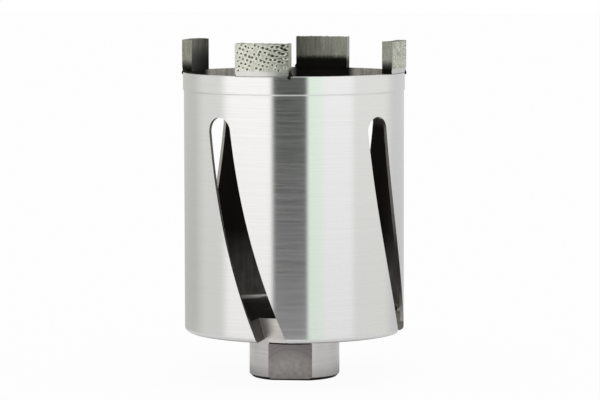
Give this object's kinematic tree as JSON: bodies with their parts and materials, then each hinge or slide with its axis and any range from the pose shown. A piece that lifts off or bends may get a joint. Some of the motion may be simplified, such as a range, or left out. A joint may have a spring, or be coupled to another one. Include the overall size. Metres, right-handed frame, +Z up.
{
  "type": "diamond core bit",
  "caption": "Dry diamond core bit: thin turned steel barrel with sintered cutting segments on its rim, curved side slots, and a threaded hub with wrench flats at the closed end.",
  "frame": {"origin": "centre of the hub's lower face, on the barrel's axis", "axes": "+Z up the barrel's axis, from the hub to the cutting end; +X through the middle of segment_1"},
  "size_m": [0.068, 0.068, 0.1023],
  "materials": {
    "turned_steel": "fine turned bright steel",
    "hub_steel": "turned, flats face-milled",
    "sintered_segment": "dimpled sintered metal with diamond grit"
  },
  "bodies": {
    "root": {"barrel": "turned_steel", "hub": "hub_steel", "segment_1": "sintered_segment", "segment_2": "sintered_segment", "segment_3": "sintered_segment", "segment_4": "sintered_segment"}
  },
  "joints": []
}
